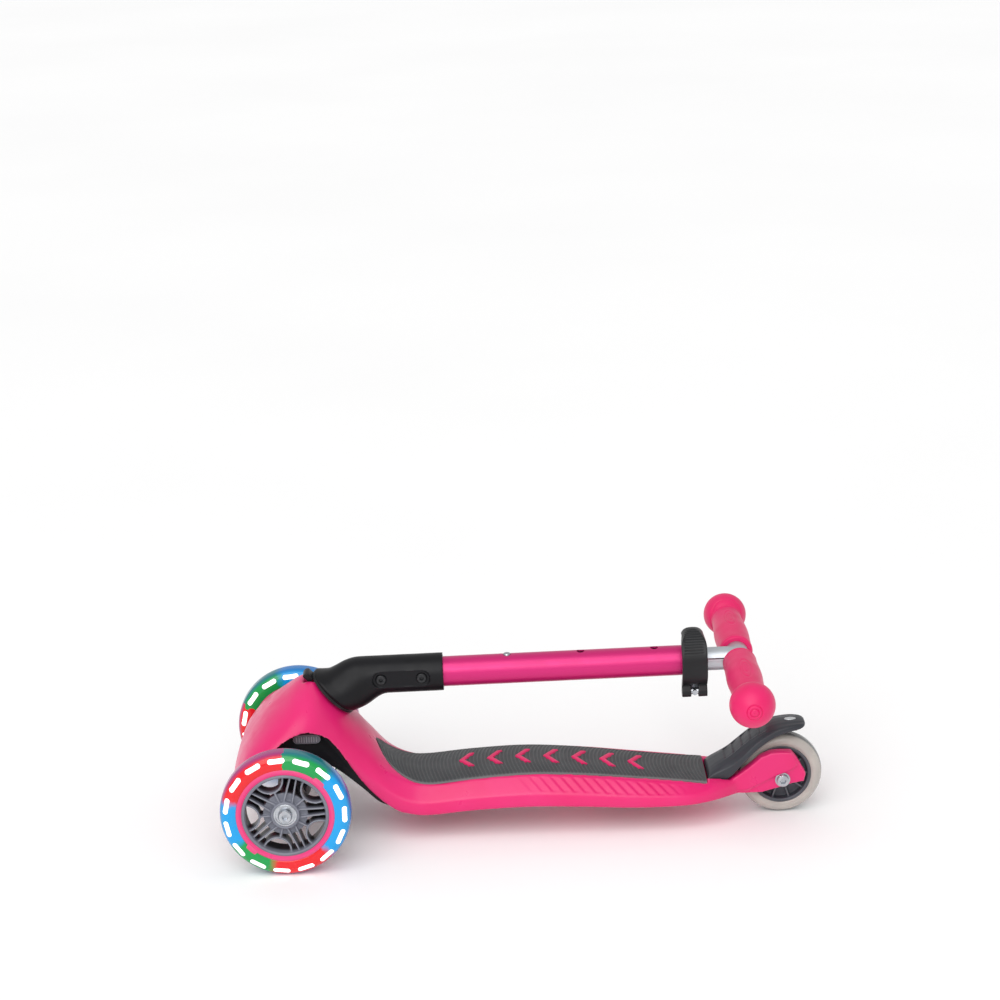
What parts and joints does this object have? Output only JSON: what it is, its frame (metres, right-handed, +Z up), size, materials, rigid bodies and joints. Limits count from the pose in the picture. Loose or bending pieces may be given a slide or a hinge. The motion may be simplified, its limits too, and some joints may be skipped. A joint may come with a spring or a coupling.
{
  "type": "kick scooter",
  "caption": "Folding kick scooter for small children: curved deck, leaning front truck with light-up wheels, rear wheel with press-down brake, and a column that swivels flat over the deck.",
  "frame": {"origin": "middle of the folded scooter's box, on the floor", "axes": "+X towards the front wheels, +Y to the rider's left, +Z up"},
  "size_m": [0.569, 0.286, 0.1886],
  "materials": {
    "pink_plastic": "moulded pink plastic, satin",
    "pink_rubber": "moulded pink rubber, matt",
    "pink_metal": "metallic pink lacquer on aluminium tube",
    "mat_rubber": "grey ribbed deck rubber",
    "black_plastic": "black moulded plastic, fine satin",
    "grey_plastic": "dark grey moulded plastic",
    "core_plastic": "mid grey moulded plastic",
    "aluminium": "brushed clear anodised",
    "steel": "zinc plated fasteners",
    "copper": "lacquered copper winding",
    "lit_tyre": "translucent cast polyurethane, lit in green, blue and red",
    "light_window": "white light windows",
    "clear_tyre": "clear cast polyurethane",
    "badge": "plain oval inlay"
  },
  "bodies": {
    "deck": {"deck_shell": "pink_plastic", "deck_mat": "mat_rubber", "fold_seat": "black_plastic", "fold_pivot_bolt": "steel", "fold_pivot_nut": "steel", "fold_lock_plunger": "steel", "fold_button_spring": "steel", "steering_base": "black_plastic", "base_screws": "steel", "steering_kingpin": "steel", "kingpin_nut": "steel", "steering_springs": "steel", "rear_spacers": "steel", "rear_axle_bolt": "steel", "rear_axle_nut": "steel", "brake_pin": "steel", "brake_spring": "steel"},
    "fold_button": {"fold_release_button": "black_plastic"},
    "lock_button": {"steering_lock_button": "grey_plastic"},
    "truck": {"truck": "black_plastic", "axle_bolt_left": "steel", "axle_bolt_right": "steel", "magnet_sleeve_left": "steel", "magnet_sleeve_right": "steel"},
    "wheel_left": {"wheel_core_left": "core_plastic", "rim_band_left": "pink_plastic", "tyre_left": "lit_tyre", "light_windows_left": "light_window", "coil_ring_left": "copper", "bearings_left": "steel"},
    "wheel_right": {"wheel_core_right": "core_plastic", "rim_band_right": "pink_plastic", "tyre_right": "lit_tyre", "light_windows_right": "light_window", "coil_ring_right": "copper", "bearings_right": "steel"},
    "wheel_rear": {"rear_wheel_core": "grey_plastic", "rear_tyre": "clear_tyre", "rear_bearings": "steel"},
    "brake": {"brake_fender": "grey_plastic", "brake_badge": "badge"},
    "column": {"fold_head": "black_plastic", "head_bolts": "black_plastic", "head_nuts": "black_plastic", "outer_tube": "pink_metal", "tube_bush": "black_plastic", "clamp_collar": "aluminium", "clamp_bolt": "steel", "clamp_barrel": "steel"},
    "lever": {"clamp_lever": "black_plastic"},
    "handlebar": {"inner_tube": "aluminium", "crossbar": "aluminium", "grip_left": "pink_rubber", "grip_right": "pink_rubber", "snap_spring": "steel"},
    "height_button": {"snap_button": "steel"}
  },
  "joints": [
    {"name": "fold_swivel", "type": "hinge", "parent": "deck", "child": "column", "pos_m": [0.166, 0, 0.1508], "axis": [-0.7193, 0, 0.6947], "range_deg": [0, 180]},
    {"name": "height_slide", "type": "slide", "parent": "column", "child": "handlebar", "axis": [-0.9998, 0, 0.0175], "range_m": [0, 0.14], "deforming": ["snap_button"]},
    {"name": "lever_open", "type": "hinge", "parent": "column", "child": "lever", "pos_m": [-0.16142, 0.012, 0.12951], "axis": [-0.9998, 0, 0.0175], "range_deg": [0, 110]},
    {"name": "steer", "type": "hinge", "parent": "deck", "child": "truck", "pos_m": [0.212, 0, 0.062], "axis": [0.5736, 0, 0.8192], "range_deg": [-9, 9], "stiffness_Nm_per_rad": 15},
    {"name": "wheel_left_spin", "type": "hinge", "parent": "truck", "child": "wheel_left", "pos_m": [0.224, 0.107, 0.0605], "axis": [0, 1, 0], "continuous": true},
    {"name": "wheel_right_spin", "type": "hinge", "parent": "truck", "child": "wheel_right", "pos_m": [0.224, -0.107, 0.0605], "axis": [0, 1, 0], "continuous": true},
    {"name": "wheel_rear_spin", "type": "hinge", "parent": "deck", "child": "wheel_rear", "pos_m": [-0.2445, 0, 0.04], "axis": [0, 1, 0], "continuous": true},
    {"name": "brake_press", "type": "hinge", "parent": "deck", "child": "brake", "pos_m": [-0.18, 0, 0.0398], "axis": [0, -1, 0], "range_deg": [0, 3.6], "stiffness_Nm_per_rad": 1, "springref_deg": -8.59},
    {"name": "fold_button_press", "type": "slide", "parent": "deck", "child": "fold_button", "axis": [-0.6947, 0, -0.7193], "range_m": [0, 0.003], "stiffness_N_per_m": 400, "springref_m": -0.002},
    {"name": "steering_lock_push", "type": "slide", "parent": "deck", "child": "lock_button", "axis": [0, 1, 0], "range_m": [-0.006, 0]},
    {"name": "height_button_press", "type": "slide", "parent": "handlebar", "child": "height_button", "axis": [-0.0175, 0, -0.9998], "range_m": [0, 0.0035], "stiffness_N_per_m": 400, "springref_m": -0.002}
  ]
}
